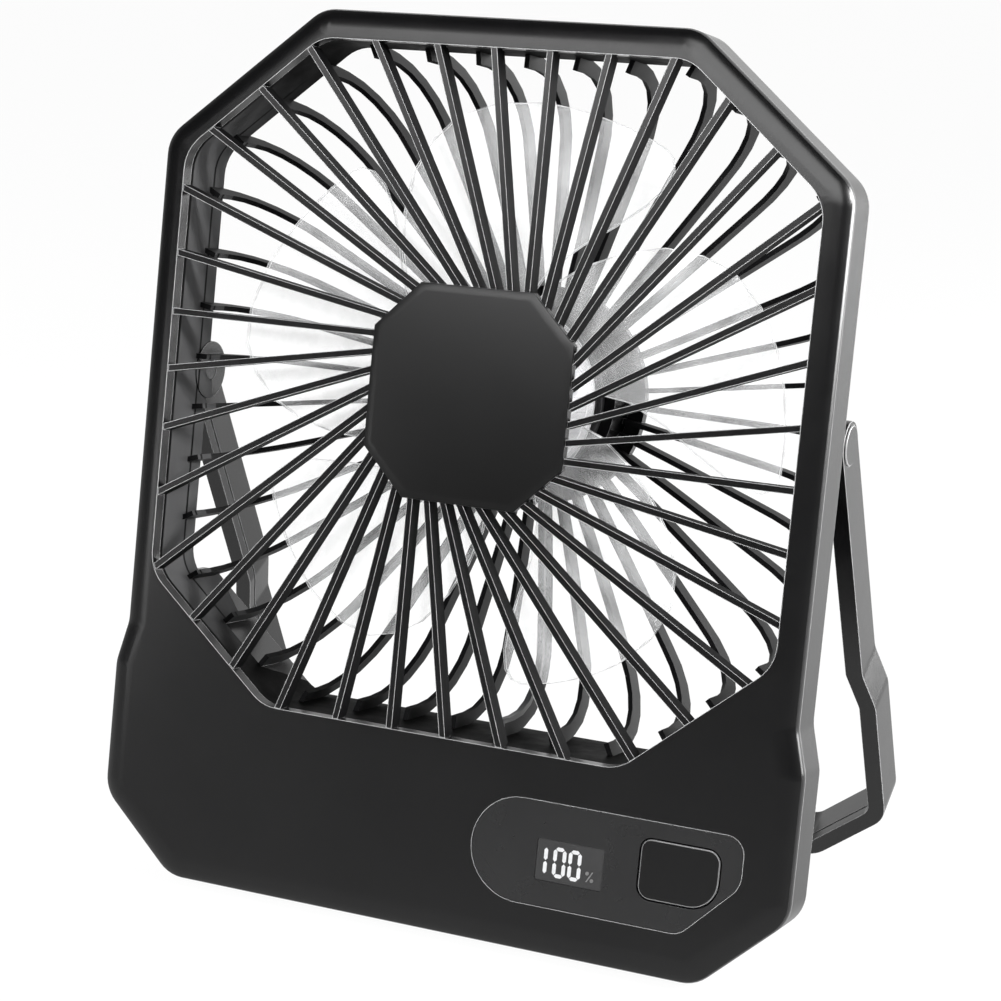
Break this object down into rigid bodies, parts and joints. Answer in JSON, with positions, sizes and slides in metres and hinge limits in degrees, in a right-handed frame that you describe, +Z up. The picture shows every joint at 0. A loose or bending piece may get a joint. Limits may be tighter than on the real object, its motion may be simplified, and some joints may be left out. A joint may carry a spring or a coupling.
{
  "type": "portable camping fan",
  "caption": "Flat portable fan in a chamfered upright frame with straight front ribs, frosted blades, a control panel with display and button, and a folding U-shaped stand.",
  "frame": {"origin": "middle of the footprint on the floor, under the leaning body and the swung-out stand", "axes": "+Z up, +X to the right seen from the front, the fan blows towards -Y"},
  "size_m": [0.1742, 0.1021, 0.2094],
  "materials": {
    "charcoal": "fine satin moulded charcoal ABS",
    "dark_plastic": "plain black moulded plastic",
    "frosted": "translucent milky white plastic",
    "window": "smoked display window",
    "digits": "lit white segments",
    "rubber": "soft black rubber",
    "steel": "plain steel",
    "copper": "enamelled copper wire",
    "brass": "sintered bronze bearing",
    "magnet": "bonded magnet",
    "board": "green circuit board",
    "cell": null,
    "wire": "insulated wire",
    "washer": "plain nylon"
  },
  "bodies": {
    "case": {"front_cover": "charcoal", "rear_shell": "charcoal", "motor_base": "dark_plastic", "motor_bearings": "brass", "motor_board": "board", "stator_core": "steel", "stator_coils": "copper", "motor_screws": "steel", "battery_cells": "cell", "battery_cradle": "dark_plastic", "battery_strips": "steel", "wiring": "wire", "motor_lead": "wire", "control_panel": "charcoal", "display_window": "window", "display_digits": "digits", "display_module": "dark_plastic", "control_board": "board", "tact_switch": "dark_plastic", "charge_board": "board", "usb_socket": "steel", "case_screws": "steel", "base_feet": "rubber", "pivot_pins": "steel", "pivot_washers": "washer"},
    "rotor": {"impeller": "frosted", "rotor_can": "steel", "rotor_magnets": "magnet", "motor_shaft": "steel", "shaft_clip": "steel"},
    "stand": {"stand": "charcoal", "stand_pad": "rubber", "pivot_caps": "charcoal"},
    "button": {"power_button": "charcoal"}
  },
  "joints": [
    {"name": "stand_fold", "type": "hinge", "parent": "case", "child": "stand", "pos_m": [0, -0.01135, 0.12032], "axis": [1, 0, 0], "range_deg": [-35.5, 144]},
    {"name": "fan_spin", "type": "hinge", "parent": "case", "child": "rotor", "pos_m": [0, -0.01131, 0.12234], "axis": [0, 0.986, -0.1665], "continuous": true},
    {"name": "button_press", "type": "slide", "parent": "case", "child": "button", "axis": [0, 0.986, -0.1665], "range_m": [0, 0.0006], "stiffness_N_per_m": 2000}
  ]
}
